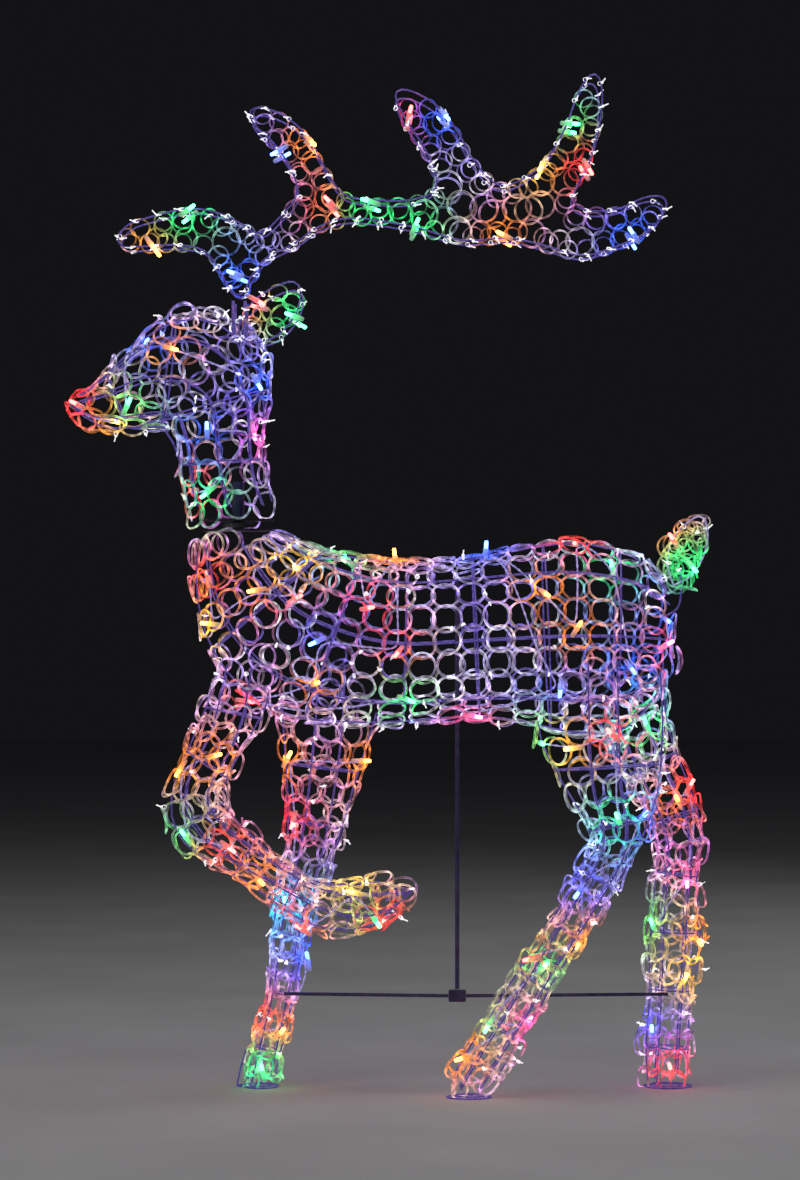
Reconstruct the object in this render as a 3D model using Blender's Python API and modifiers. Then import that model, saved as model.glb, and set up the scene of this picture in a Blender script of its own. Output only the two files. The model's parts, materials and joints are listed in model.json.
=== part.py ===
"""Light up yard reindeer: wire cages dressed in a skin of clear tube rings, with lamp strings.

The deer looks along -X, +Z is up and the origin is on the ground under the middle of its box.
Each section is a loft through stations. A station is an oval ring given by its upper (or rear)
point and its lower (or front) point in the XZ plane, and by its half width along Y.
"""
import math

import bmesh
import bpy
from mathutils import Vector

# ---- driving dimensions, in metres -------------------------------------------------------
SKIN = 0.004            # thickness of the layer of tube rings
BODY_FRAME_INSET = 0.0165 # from the skin's outside to the middle of a frame wire
LEG_FRAME_INSET = 0.0105
WIRE = 0.0045           # frame wire
GAP = 0.0006            # clearance between neighbouring pieces
SKIN_SIDES = 14
FRAME_SIDES = 8
LEG_SIDES = 10
LEG_FRAME_SIDES = 6

BODY_LAMP_INSET = 0.032  # from the skin's outside to the middle of a lamp
LEG_LAMP_INSET = 0.024
LAMP_RADIUS = 0.0036
LAMP_LENGTH = 0.026
CABLE_RADIUS = 0.0013

NEAR, FAR = -1, 1       # sides of the deer: NEAR is -Y
LEG_Y = 0.066           # middle of each leg from the deer's middle plane
EAR_Y = 0.055           # root of each ear from the middle plane
EAR_LEAN = math.radians(24)
ANTLER_Y = 0.034
ANTLER_LEAN = math.radians(4)
ANTLER_FOOT = (-0.203, 1.088)
PIVOT = (-0.210, 0.776)  # neck pivot in XZ
PIVOT_RADIUS = 0.008
PLATE_THICK = 0.003
POST = (0.090, 0.132)   # stand post's x and the height of the stand's rails
RAIL_RADIUS = 0.003
JOINT_SIZE = (0.024, 0.016, 0.016)
PLATE_OVAL = (0.050, 0.046)  # half length and half width of the neck plates
WASHER_RADIUS = 0.020
WASHER_THICK = 0.0065
ANTLER_ROD_RADIUS = 0.0022
ANTLER_ROD_SPACING = 0.016

TORSO = [
    ((-0.150, 0.765), (-0.272, 0.757), 0.062),
    ((-0.104, 0.751), (-0.277, 0.695), 0.086),
    ((-0.058, 0.740), (-0.266, 0.626), 0.101),
    ((-0.010, 0.734), (-0.226, 0.549), 0.108),
    ((0.045, 0.733), (-0.140, 0.503), 0.110),
    ((0.107, 0.738), (-0.016, 0.497), 0.110),
    ((0.175, 0.752), (0.086, 0.506), 0.108),
    ((0.251, 0.763), (0.169, 0.503), 0.108),
    ((0.312, 0.752), (0.237, 0.485), 0.105),
    ((0.353, 0.736), (0.312, 0.481), 0.096),
    ((0.376, 0.704), (0.360, 0.519), 0.080),
    ((0.390, 0.656), (0.386, 0.581), 0.045),
]
HEAD = [
    ((-0.150, 0.789), (-0.282, 0.789), 0.060),
    ((-0.164, 0.832), (-0.292, 0.826), 0.058),
    ((-0.173, 0.889), (-0.296, 0.864), 0.055),
    ((-0.164, 0.951), (-0.301, 0.892), 0.058),
    ((-0.164, 0.996), (-0.307, 0.901), 0.062),
    ((-0.184, 1.040), (-0.318, 0.905), 0.068),
    ((-0.229, 1.070), (-0.334, 0.908), 0.070),
    ((-0.285, 1.074), (-0.352, 0.904), 0.066),
    ((-0.322, 1.060), (-0.373, 0.901), 0.056),
    ((-0.353, 1.029), (-0.393, 0.901), 0.047),
    ((-0.389, 0.991), (-0.414, 0.904), 0.039),
    ((-0.419, 0.969), (-0.433, 0.915), 0.031),
    ((-0.438, 0.952), (-0.441, 0.933), 0.016),
]
# The four legs, from the hip down. Each is given with its side.
FRONT_RAISED = [
    ((-0.147, 0.600), (-0.236, 0.600), 0.040),
    ((-0.160, 0.530), (-0.256, 0.535), 0.042),
    ((-0.196, 0.470), (-0.284, 0.470), 0.040),
    ((-0.222, 0.425), (-0.311, 0.412), 0.038),
    ((-0.220, 0.398), (-0.313, 0.374), 0.037),
    ((-0.204, 0.378), (-0.292, 0.336), 0.036),
    ((-0.180, 0.355), (-0.236, 0.308), 0.034),
    ((-0.148, 0.325), (-0.185, 0.278), 0.030),
    ((-0.120, 0.304), (-0.146, 0.246), 0.030),
    ((-0.088, 0.294), (-0.104, 0.222), 0.032),
    ((-0.050, 0.296), (-0.062, 0.218), 0.034),
    ((-0.012, 0.306), (-0.014, 0.226), 0.032),
    ((0.018, 0.292), (0.020, 0.256), 0.016),
]
FRONT_STRAIGHT = [
    ((0.011, 0.600), (-0.166, 0.600), 0.040),
    ((-0.020, 0.490), (-0.158, 0.490), 0.041),
    ((-0.044, 0.418), (-0.152, 0.418), 0.040),
    ((-0.064, 0.350), (-0.150, 0.345), 0.038),
    ((-0.080, 0.300), (-0.160, 0.292), 0.036),
    ((-0.104, 0.245), (-0.170, 0.243), 0.033),
    ((-0.118, 0.190), (-0.168, 0.192), 0.030),
    ((-0.129, 0.136), (-0.174, 0.138), 0.027),
    ((-0.138, 0.083), (-0.190, 0.084), 0.028),
    ((-0.150, 0.040), (-0.200, 0.042), 0.030),
    ((-0.156, 0.007), (-0.206, 0.007), 0.032),
]
REAR_SLANTED = [
    ((0.372, 0.610), (0.200, 0.590), 0.042),
    ((0.378, 0.510), (0.186, 0.490), 0.042),
    ((0.372, 0.420), (0.226, 0.420), 0.041),
    ((0.350, 0.352), (0.268, 0.356), 0.039),
    ((0.318, 0.300), (0.252, 0.318), 0.036),
    ((0.290, 0.252), (0.232, 0.275), 0.034),
    ((0.258, 0.204), (0.201, 0.229), 0.032),
    ((0.229, 0.166), (0.175, 0.190), 0.031),
    ((0.208, 0.118), (0.141, 0.135), 0.030),
    ((0.182, 0.078), (0.108, 0.084), 0.029),
    ((0.158, 0.037), (0.078, 0.040), 0.029),
    ((0.136, 0.007), (0.074, 0.007), 0.028),
]
REAR_STRAIGHT = [
    ((0.384, 0.600), (0.250, 0.590), 0.042),
    ((0.386, 0.510), (0.286, 0.490), 0.042),
    ((0.408, 0.446), (0.326, 0.420), 0.041),
    ((0.430, 0.392), (0.352, 0.368), 0.040),
    ((0.439, 0.346), (0.362, 0.334), 0.039),
    ((0.427, 0.292), (0.360, 0.290), 0.037),
    ((0.432, 0.245), (0.353, 0.243), 0.037),
    ((0.436, 0.200), (0.351, 0.200), 0.036),
    ((0.427, 0.152), (0.350, 0.152), 0.035),
    ((0.417, 0.110), (0.351, 0.112), 0.034),
    ((0.418, 0.062), (0.344, 0.062), 0.034),
    ((0.416, 0.007), (0.348, 0.007), 0.034),
]
TAIL = [
    ((0.408, 0.686), (0.387, 0.690), 0.008),
    ((0.422, 0.716), (0.375, 0.722), 0.020),
    ((0.431, 0.748), (0.377, 0.750), 0.021),
    ((0.435, 0.772), (0.392, 0.774), 0.015),
    ((0.433, 0.788), (0.418, 0.787), 0.005),
]

# Antler outline in XZ, from the brow tine's tip round the top and back underneath.
ANTLER = [
    (-0.379, 1.163), (-0.363, 1.188), (-0.332, 1.199), (-0.281, 1.211), (-0.240, 1.207),
    (-0.205, 1.192), (-0.180, 1.178), (-0.152, 1.202), (-0.133, 1.227), (-0.140, 1.259),
    (-0.165, 1.295), (-0.190, 1.318), (-0.199, 1.343), (-0.176, 1.348), (-0.143, 1.336),
    (-0.110, 1.307), (-0.088, 1.266), (-0.062, 1.230), (-0.020, 1.223), (0.025, 1.223),
    (0.056, 1.236), (0.052, 1.268), (0.033, 1.300), (0.010, 1.336), (-0.001, 1.370),
    (0.030, 1.370), (0.068, 1.347), (0.095, 1.311), (0.115, 1.275), (0.145, 1.244),
    (0.175, 1.250), (0.207, 1.276), (0.232, 1.318), (0.252, 1.370), (0.276, 1.399),
    (0.290, 1.372), (0.288, 1.326), (0.275, 1.272), (0.252, 1.226), (0.262, 1.210),
    (0.305, 1.210), (0.345, 1.227), (0.378, 1.226), (0.374, 1.198), (0.346, 1.169),
    (0.300, 1.149), (0.258, 1.139), (0.210, 1.152), (0.160, 1.163), (0.095, 1.160),
    (0.030, 1.178), (-0.050, 1.190), (-0.095, 1.180), (-0.130, 1.156), (-0.168, 1.137),
    (-0.188, 1.112), (-0.200, 1.086), (-0.220, 1.090), (-0.236, 1.116), (-0.252, 1.142),
    (-0.285, 1.153), (-0.335, 1.152), (-0.365, 1.150),
]
EAR = [
    (-0.212, 1.030), (-0.208, 1.062), (-0.184, 1.092), (-0.152, 1.112), (-0.124, 1.116),
    (-0.118, 1.090), (-0.128, 1.058), (-0.152, 1.030), (-0.184, 1.018),
]

# Lamp strings: each point is a lamp (x, z, side), in the order the string visits them.
TORSO_LAMPS = [
    (-0.238, 0.698, 1), (-0.242, 0.708, -1), (-0.252, 0.641, -1), (-0.183, 0.689, -1),
    (-0.125, 0.722, -1), (-0.130, 0.676, -1), (-0.033, 0.665, -1), (0.012, 0.726, -1),
    (0.010, 0.604, -1), (-0.100, 0.618, -1), (-0.105, 0.558, -1), (-0.197, 0.531, -1),
    (0.020, 0.545, -1), (0.110, 0.535, -1), (0.228, 0.552, -1), (0.136, 0.738, -1),
    (0.206, 0.686, -1), (0.250, 0.636, -1), (0.252, 0.728, -1), (0.298, 0.706, 1),
    (0.334, 0.590, 1), (0.345, 0.620, -1),
]
HEAD_LAMPS = [
    (-0.254, 0.824, 1), (-0.276, 0.829, -1), (-0.182, 0.905, -1), (-0.252, 0.903, -1),
    (-0.182, 0.972, -1), (-0.302, 1.018, -1), (-0.340, 1.022, 1), (-0.358, 0.938, -1),
    (-0.374, 0.950, 1), (-0.414, 0.944, -1),
]
FRONT_RAISED_LAMPS = [
    (-0.238, 0.463, -1), (-0.290, 0.450, -1), (-0.278, 0.352, -1), (-0.222, 0.340, 1),
    (-0.182, 0.298, -1), (-0.112, 0.268, 1), (-0.062, 0.280, -1), (-0.032, 0.256, -1),
]
FRONT_STRAIGHT_LAMPS = [
    (-0.031, 0.450, 1), (-0.126, 0.452, -1), (-0.141, 0.371, -1), (-0.148, 0.252, 1),
    (-0.122, 0.173, -1), (-0.154, 0.073, -1), (-0.182, 0.050, 1),
]
REAR_SLANTED_LAMPS = [
    (0.245, 0.474, -1), (0.288, 0.452, 1), (0.305, 0.377, -1), (0.250, 0.285, -1),
    (0.246, 0.214, 1), (0.196, 0.176, -1), (0.182, 0.112, -1), (0.130, 0.100, 1), (0.096, 0.058, -1),
]
REAR_STRAIGHT_LAMPS = [
    (0.354, 0.438, 1), (0.412, 0.396, -1), (0.380, 0.318, -1), (0.404, 0.290, 1),
    (0.372, 0.222, -1), (0.419, 0.207, 1), (0.404, 0.143, -1), (0.370, 0.074, -1),
]
# Points of an antler's string in XZ: True is a lamp and False is bare cable round a bend.
ANTLER_LAMPS = [
    (-0.212, 1.118, True), (-0.328, 1.166, True), (-0.276, 1.196, True), (-0.185, 1.164, False),
    (-0.118, 1.225, False), (-0.152, 1.286, True), (-0.116, 1.298, True), (-0.094, 1.240, False),
    (-0.086, 1.214, True), (-0.026, 1.209, True), (0.030, 1.192, True), (0.070, 1.230, False),
    (0.064, 1.270, False), (0.026, 1.330, True), (0.068, 1.325, True), (0.090, 1.280, False),
    (0.122, 1.220, False), (0.154, 1.180, True), (0.205, 1.255, True), (0.240, 1.322, True),
    (0.262, 1.270, True), (0.256, 1.200, False), (0.322, 1.172, True),
]

PARTS = None
CUTTERS = None


# ---- helpers ------------------------------------------------------------------------------
def clear_scene():
    """Remove every object and make the two collections."""
    global PARTS, CUTTERS
    for obj in list(bpy.data.objects):
        bpy.data.objects.remove(obj, do_unlink=True)
    PARTS = bpy.data.collections.new("yard_reindeer")
    CUTTERS = bpy.data.collections.new("cutters")
    for collection in (PARTS, CUTTERS):
        bpy.context.scene.collection.children.link(collection)


def material(name, color, roughness, metallic=0.0, glow=0.0):
    """A Principled material, with a little emission on lamps."""
    mat = bpy.data.materials.new(name)
    mat.use_nodes = True
    shader = mat.node_tree.nodes["Principled BSDF"]
    shader.inputs["Base Color"].default_value = (*color, 1.0)
    shader.inputs["Roughness"].default_value = roughness
    shader.inputs["Metallic"].default_value = metallic
    shader.inputs["Emission Color"].default_value = (*color, 1.0)
    shader.inputs["Emission Strength"].default_value = glow
    return mat


def frame_material(name):
    return material(name, (0.62, 0.62, 0.66), 0.35, 0.6)


def skin_material(name):
    return material(name, (0.72, 0.74, 0.92), 0.12)


def string_material(name):
    return material(name, (0.80, 0.82, 0.86), 0.30, glow=0.4)


def add_object(name, data, mat, collection=None):
    obj = bpy.data.objects.new(name, data)
    (collection or PARTS).objects.link(obj)
    data.materials.append(mat)
    return obj


def as_cutter(obj):
    """Move an object to the cutters and hide it from the render."""
    for collection in list(obj.users_collection):
        collection.objects.unlink(obj)
    CUTTERS.objects.link(obj)
    obj.hide_render = True
    obj.display_type = "WIRE"
    return obj


def tube(name, points, radius, mat, closed=False, radii=None, resolution=2):
    """A round wire or rod through the points."""
    curve = bpy.data.curves.new(name, "CURVE")
    curve.dimensions = "3D"
    curve.resolution_u = 1
    curve.render_resolution_u = 0
    curve.bevel_depth = radius
    curve.bevel_resolution = resolution
    curve.use_fill_caps = True
    spline = curve.splines.new("POLY")
    spline.points.add(len(points) - 1)
    for index, point in enumerate(points):
        spline.points[index].co = (*point, 1.0)
        spline.points[index].radius = radii[index] if radii else 1.0
    spline.use_cyclic_u = closed
    return add_object(name, curve, mat)


def plate(name, outline, thickness, mat, closed_holes=()):
    """A flat plate: an outline in the object's own XY plane, with holes, thickened both ways."""
    curve = bpy.data.curves.new(name, "CURVE")
    curve.dimensions = "2D"
    curve.fill_mode = "BOTH"
    curve.extrude = thickness / 2
    curve.render_resolution_u = 0
    for loop in (outline, *closed_holes):
        spline = curve.splines.new("POLY")
        spline.points.add(len(loop) - 1)
        for index, (u, v) in enumerate(loop):
            spline.points[index].co = (u, v, 0.0, 1.0)
        spline.use_cyclic_u = True
    return add_object(name, curve, mat)


def oval(half_x, half_y, count, centre=(0.0, 0.0)):
    """Points of an ellipse."""
    angles = [2 * math.pi * index / count for index in range(count)]
    return [(centre[0] + half_x * math.cos(a), centre[1] + half_y * math.sin(a)) for a in angles]


def station_ring(station, sides, inset, side_y):
    """The oval ring of one station, pulled in by an inset."""
    (ax, az), (bx, bz), half = station
    middle = Vector(((ax + bx) / 2, side_y, (az + bz) / 2))
    up = Vector((ax - bx, 0.0, az - bz)) / 2
    reach = up.length
    up *= max(reach - inset, 0.3 * reach) / reach
    across = Vector((0.0, max(half - inset, 0.3 * half), 0.0))
    ring = []
    for index in range(sides):
        angle = 2 * math.pi * (index + 0.5) / sides
        ring.append(middle + up * math.cos(angle) + across * math.sin(angle))
    return ring


def loft(stations, sides, inset, side_y, cap_end, cap_start=False):
    """A surface through the station rings, facing out, with its ends open or capped."""
    work = bmesh.new()
    rings = []
    for station in stations:
        ring = [work.verts.new(point) for point in station_ring(station, sides, inset, side_y)]
        rings.append(ring)
    for first, second in zip(rings, rings[1:]):
        for index in range(sides):
            after = (index + 1) % sides
            work.faces.new((first[index], first[after], second[after], second[index]))
    if cap_end:
        work.faces.new(rings[-1])
    if cap_start:
        work.faces.new(list(reversed(rings[0])))
    mesh = bpy.data.meshes.new("loft")
    work.to_mesh(mesh)
    work.free()
    return mesh


def facing_out(mesh, centre):
    """Turn the faces of an open loft away from its middle line."""
    score = 0.0
    for polygon in mesh.polygons:
        score += (polygon.center - centre).dot(polygon.normal) * polygon.area
    if score < 0:
        mesh.flip_normals()


def stations_centre(stations, side_y):
    total = Vector((0.0, 0.0, 0.0))
    for (ax, az), (bx, bz), _half in stations:
        total += Vector(((ax + bx) / 2, side_y, (az + bz) / 2))
    return total / len(stations)


def skin(name, stations, sides, side_y=0.0, cap_end=True):
    """The thin layer of tube rings round one section."""
    mesh = loft(stations, sides, 0.0, side_y, cap_end)
    facing_out(mesh, stations_centre(stations, side_y))
    obj = add_object(name, mesh, skin_material(name))
    mesh.shade_smooth()
    thick = obj.modifiers.new("thickness", "SOLIDIFY")
    thick.thickness = SKIN
    thick.offset = -1.0
    return obj


def cage(name, stations, sides, inset, side_y=0.0):
    """The welded wire cage inside a section: hoops and stringers as one lattice."""
    mesh = loft(stations, sides, inset, side_y, False)
    facing_out(mesh, stations_centre(stations, side_y))
    obj = add_object(name, mesh, frame_material(name))
    lattice = obj.modifiers.new("wires", "WIREFRAME")
    lattice.thickness = WIRE
    lattice.use_boundary = True
    lattice.use_even_offset = False
    lattice.use_replace = True
    return obj


def cut(obj, cutter):
    """Take the cutter out of the object."""
    boolean = obj.modifiers.new("cut_" + cutter.name, "BOOLEAN")
    boolean.operation = "DIFFERENCE"
    boolean.solver = "EXACT"
    boolean.object = cutter


def closed_cutter(name, stations, sides, inset):
    """A closed loft used to cut neighbours back from a section."""
    mesh = loft(stations, sides, inset, 0.0, True, True)
    facing_out(mesh, stations_centre(stations, 0.0))
    return as_cutter(add_object(name, mesh, skin_material(name)))


def rod_cutter(name, start, end, radius, sides=12):
    """A round rod used to cut a hole between two points."""
    start, end = Vector(start), Vector(end)
    work = bmesh.new()
    bmesh.ops.create_cone(
        work, cap_ends=True, segments=sides, radius1=radius, radius2=radius, depth=(end - start).length
    )
    mesh = bpy.data.meshes.new(name)
    work.to_mesh(mesh)
    work.free()
    obj = add_object(name, mesh, frame_material(name))
    obj.location = (start + end) / 2
    obj.rotation_euler = (end - start).to_track_quat("Z", "Y").to_euler()
    return as_cutter(obj)


def half_width_at(stations, x, z):
    """Half width of a section beside the point (x, z), and that point moved onto its ring."""
    best = None
    for first, second in zip(stations, stations[1:]):
        for step in range(6):
            blend = step / 5
            top = Vector(first[0]).lerp(Vector(second[0]), blend)
            low = Vector(first[1]).lerp(Vector(second[1]), blend)
            half = first[2] + (second[2] - first[2]) * blend
            middle = (top + low) / 2
            axis = (top - low) / 2
            along = (Vector((x, z)) - middle).dot(axis) / axis.length_squared
            on_ring = middle + axis * along
            miss = (on_ring - Vector((x, z))).length
            if best is None or miss < best[0]:
                best = (miss, middle, axis, half, along)
    return best[1:]


def lamp_point(stations, x, z, side, side_y, inset):
    """Where a lamp sits just inside the skin."""
    middle, axis, half, along = half_width_at(stations, x, z)
    reach = max(0.15, 1.0 - inset / axis.length)
    along = max(-reach, min(reach, along))
    across = (half - inset) * math.sqrt(max(0.04, 1.0 - (along / reach) ** 2))
    place = middle + axis * along
    return Vector((place.x, side_y + side * across, place.y))


def lamp_string(name, places, lit):
    """A thin cable through the places, swept as one wire that swells at those with a lamp."""
    points = []
    radii = []
    swell = LAMP_RADIUS / CABLE_RADIUS
    last = len(places) - 1
    for index, place in enumerate(places):
        before = places[max(index - 1, 0)]
        after = places[min(index + 1, last)]
        if not lit[index]:
            points.append(place)
            radii.append(1.0)
            continue
        along = (after - before).normalized() * (LAMP_LENGTH / 2)
        neck = along * 0.8
        for offset, radius in ((-along, 1.0), (-neck, swell), (neck, swell), (along, 1.0)):
            points.append(place + offset)
            radii.append(radius)
    return tube(name, points, CABLE_RADIUS, string_material(name), radii=radii, resolution=1)


def section_lamps(name, stations, lamps, inset, side_y=0.0):
    places = [lamp_point(stations, x, z, side, side_y, inset) for x, z, side in lamps]
    return lamp_string(name, places, [True] * len(places))


# ---- sections -----------------------------------------------------------------------------
def torso():
    frame_stations = [TORSO[index] for index in (0, 2, 3, 4, 5, 7, 8, 9)]
    cage("torso_frame", frame_stations, FRAME_SIDES, BODY_FRAME_INSET)
    shell = skin("torso_ring_skin", TORSO, SKIN_SIDES)
    section_lamps("torso_light_string", TORSO, TORSO_LAMPS, BODY_LAMP_INSET)
    return shell


def head():
    frame_stations = [HEAD[index] for index in (0, 1, 2, 3, 5, 6, 8, 9)]
    cage("head_frame", frame_stations, FRAME_SIDES, BODY_FRAME_INSET)
    shell = skin("head_ring_skin", HEAD, SKIN_SIDES)
    section_lamps("head_light_string", HEAD, HEAD_LAMPS, BODY_LAMP_INSET)
    return shell


def leg(name, stations, lamps, side, frame_from, body_cutter, cap_end):
    """One leg: cage, skin cut back from the torso, and lamp string."""
    side_y = side * LEG_Y
    last = -1 if cap_end else None
    cage(name + "_frame", stations[frame_from:last], LEG_FRAME_SIDES, LEG_FRAME_INSET, side_y)
    shell = skin(name + "_ring_skin", stations, LEG_SIDES, side_y, cap_end)
    cut(shell, body_cutter)
    section_lamps(name + "_light_string", stations, lamps, LEG_LAMP_INSET, side_y)


def hoof_ring(name, stations, side):
    """The flat foot hoop that a leg stands on, under its skin."""
    (ax, _az), (bx, _bz), half = stations[-1]
    centre = ((ax + bx) / 2, 0.0)
    outer = oval((ax - bx) / 2, half, 16, centre)
    inner = oval((ax - bx) / 2 - 0.006, half - 0.006, 16, centre)
    ring = plate(name, outer, 0.005, frame_material(name), (inner,))
    ring.location = (0.0, side * LEG_Y, 0.0025)


def tail():
    cage_mesh = loft(TAIL, LEG_FRAME_SIDES, 0.0, 0.0, True, True)
    facing_out(cage_mesh, stations_centre(TAIL, 0.0))
    add_object("tail_ring_skin", cage_mesh, skin_material("tail_ring_skin"))
    clip = [(0.3915, 0.0, 0.664), (0.394, 0.0, 0.673), (0.397, 0.0, 0.682)]
    tube("tail_clip", clip, 0.002, frame_material("tail_clip"), resolution=1)


def neck_pivot():
    """Two thin plates close the neck. The head's plate turns and lifts on the torso's pin."""
    x, z = PIVOT
    lower = plate("torso_neck_plate", oval(*PLATE_OVAL, 20), PLATE_THICK, frame_material("lower"))
    lower.location = (x, 0.0, z - 0.006)
    upper = plate(
        "head_neck_plate", oval(*PLATE_OVAL, 20), PLATE_THICK, frame_material("upper"),
        (oval(PIVOT_RADIUS + GAP, PIVOT_RADIUS + GAP, 16),),
    )
    upper.location = (x, 0.0, z + 0.008)
    washer = plate(
        "neck_washer", oval(WASHER_RADIUS, WASHER_RADIUS, 20), WASHER_THICK,
        material("neck_washer", (0.9, 0.9, 0.9), 0.4),
        (oval(PIVOT_RADIUS + GAP, PIVOT_RADIUS + GAP, 16),),
    )
    washer.location = (x, 0.0, z + 0.0009)
    pin = [(x, 0.0, z - 0.004), (x, 0.0, z + 0.060)]
    tube("neck_pivot_pin", pin, PIVOT_RADIUS, frame_material("pin"), resolution=3)


def ear(name, side):
    """An ear: a wire loop filled with one layer of rings, leaning out from the skull."""
    loop = [(x, 0.0, z) for x, z in EAR]
    wire = tube(name + "_frame", loop, WIRE / 2, frame_material(name + "_frame"), closed=True, resolution=1)
    inner = shrink(EAR, 0.0045)
    panel = plate(name + "_ring_panel", inner, SKIN, skin_material(name + "_ring_panel"))
    panel.rotation_euler = (math.radians(90), 0.0, 0.0)
    pivot = Vector((0.0, 0.0, EAR[0][1]))
    for obj in (wire, panel):
        turn_about(obj, pivot, -side * EAR_LEAN, side * EAR_Y)


def shrink(outline, inset):
    """The outline moved inwards by the inset, corner by corner."""
    result = []
    count = len(outline)
    area = sum(a[0] * b[1] - b[0] * a[1] for a, b in zip(outline, outline[1:] + outline[:1]))
    turn = 1.0 if area > 0 else -1.0
    for index, point in enumerate(outline):
        before = Vector(outline[index - 1])
        here = Vector(point)
        after = Vector(outline[(index + 1) % count])
        first = (here - before).normalized()
        second = (after - here).normalized()
        normal_a = Vector((-first.y, first.x)) * turn
        normal_b = Vector((-second.y, second.x)) * turn
        normal = (normal_a + normal_b).normalized()
        result.append(tuple(here + normal * inset / max(0.5, normal.dot(normal_a))))
    return result


def turn_about(obj, pivot, angle, y):
    """Turn an object about the X direction through a pivot, and move it to a side."""
    base = obj.matrix_basis.copy()
    from_pivot = base.translation - pivot
    obj.rotation_euler.x += angle
    cosine, sine = math.cos(angle), math.sin(angle)
    moved = Vector((
        from_pivot.x, from_pivot.y * cosine - from_pivot.z * sine,
        from_pivot.y * sine + from_pivot.z * cosine,
    ))
    obj.location = pivot + moved + Vector((0.0, y, 0.0))


def antler(name, side, head_skin):
    """One antler: outline wire, a flat layer of rings, lamps and its two rods in a socket."""
    pivot = Vector((ANTLER_FOOT[0], 0.0, ANTLER_FOOT[1]))
    lean = -side * ANTLER_LEAN
    loop = [(x, 0.0, z) for x, z in ANTLER]
    wire = tube(name + "_frame", loop, WIRE / 2, frame_material(name), closed=True, resolution=1)
    panel = plate(name + "_ring_panel", shrink(ANTLER, 0.0042), SKIN, skin_material(name))
    panel.rotation_euler = (math.radians(90), 0.0, 0.0)
    outside = side * (SKIN / 2 + LAMP_RADIUS + GAP)
    places = [Vector((x, outside, z)) for x, z, _lit in ANTLER_LAMPS]
    lamps = lamp_string(name + "_light_string", places, [lit for _x, _z, lit in ANTLER_LAMPS])
    for obj in (wire, panel, lamps):
        turn_about(obj, pivot, lean, side * ANTLER_Y)
    x, z = ANTLER_FOOT
    for index, shift in enumerate((-ANTLER_ROD_SPACING / 2, ANTLER_ROD_SPACING / 2)):
        foot = (x + shift - 0.0045, side * ANTLER_Y, z - 0.006)
        tip = (x + shift - 0.0045, side * ANTLER_Y, z - 0.060)
        tube(f"{name}_rod_{index + 1}", [foot, tip], ANTLER_ROD_RADIUS, frame_material(name + "_rod"))
        mouth = (foot[0], foot[1], z - 0.010)
        cut(head_skin, rod_cutter(f"{name}_hole_{index + 1}", mouth, tip, ANTLER_ROD_RADIUS + 0.0012))


def stand(torso_skin):
    """T stand: a post up into the body, a centre joint and two rails to the far legs."""
    x, z = POST
    tube("stand_post", [(x, 0.0, z + 0.0095), (x, 0.0, 0.700)], RAIL_RADIUS, frame_material("post"))
    cut(torso_skin, rod_cutter("post_hole", (x, 0.0, 0.45), (x, 0.0, 0.60), RAIL_RADIUS + 0.002))
    joint = rounded_box("stand_joint", JOINT_SIZE, 0.002)
    joint.location = (x, 0.0, z)
    for word, end, far in (("front", -0.148, 0.032), ("rear", 0.380, 0.025)):
        start = x + math.copysign(JOINT_SIZE[0] / 2 + GAP, end - x)
        points = [(start, 0.0, z), (end, far, z)]
        tube(f"stand_rail_{word}", points, RAIL_RADIUS * 0.8, frame_material("rail_" + word))


def rounded_box(name, size, radius):
    """A box with rounded edges."""
    work = bmesh.new()
    bmesh.ops.create_cube(work, size=1.0)
    bmesh.ops.scale(work, vec=size, verts=work.verts)
    mesh = bpy.data.meshes.new(name)
    work.to_mesh(mesh)
    work.free()
    obj = add_object(name, mesh, material(name, (0.1, 0.1, 0.12), 0.5))
    bevel = obj.modifiers.new("edges", "BEVEL")
    bevel.width = radius
    bevel.segments = 2
    return obj


def build():
    clear_scene()
    torso_skin = torso()
    head_skin = head()
    body_cutter = closed_cutter("torso_clearance", TORSO, SKIN_SIDES, -GAP)
    leg("front_right_leg", FRONT_RAISED, FRONT_RAISED_LAMPS, NEAR, 2, body_cutter, True)
    leg("front_left_leg", FRONT_STRAIGHT, FRONT_STRAIGHT_LAMPS, FAR, 2, body_cutter, False)
    leg("rear_right_leg", REAR_SLANTED, REAR_SLANTED_LAMPS, NEAR, 2, body_cutter, False)
    leg("rear_left_leg", REAR_STRAIGHT, REAR_STRAIGHT_LAMPS, FAR, 2, body_cutter, False)
    hoof_ring("front_left_foot_hoop", FRONT_STRAIGHT, FAR)
    hoof_ring("rear_right_foot_hoop", REAR_SLANTED, NEAR)
    hoof_ring("rear_left_foot_hoop", REAR_STRAIGHT, FAR)
    tail()
    neck_pivot()
    for word, side in (("left", FAR), ("right", NEAR)):
        ear("ear_" + word, side)
        antler("antler_" + word, side, head_skin)
    stand(torso_skin)


build()
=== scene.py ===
"""Looks of the light up yard reindeer: tube rings, lamp strings, cable ties and wires.

Every ring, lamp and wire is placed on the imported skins, which stay the shape of the deer.
"""
import itertools
import json
import math
import random

import bmesh
import bpy
import numpy as np
from mathutils import Matrix, Vector
from mathutils.bvhtree import BVHTree


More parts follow.
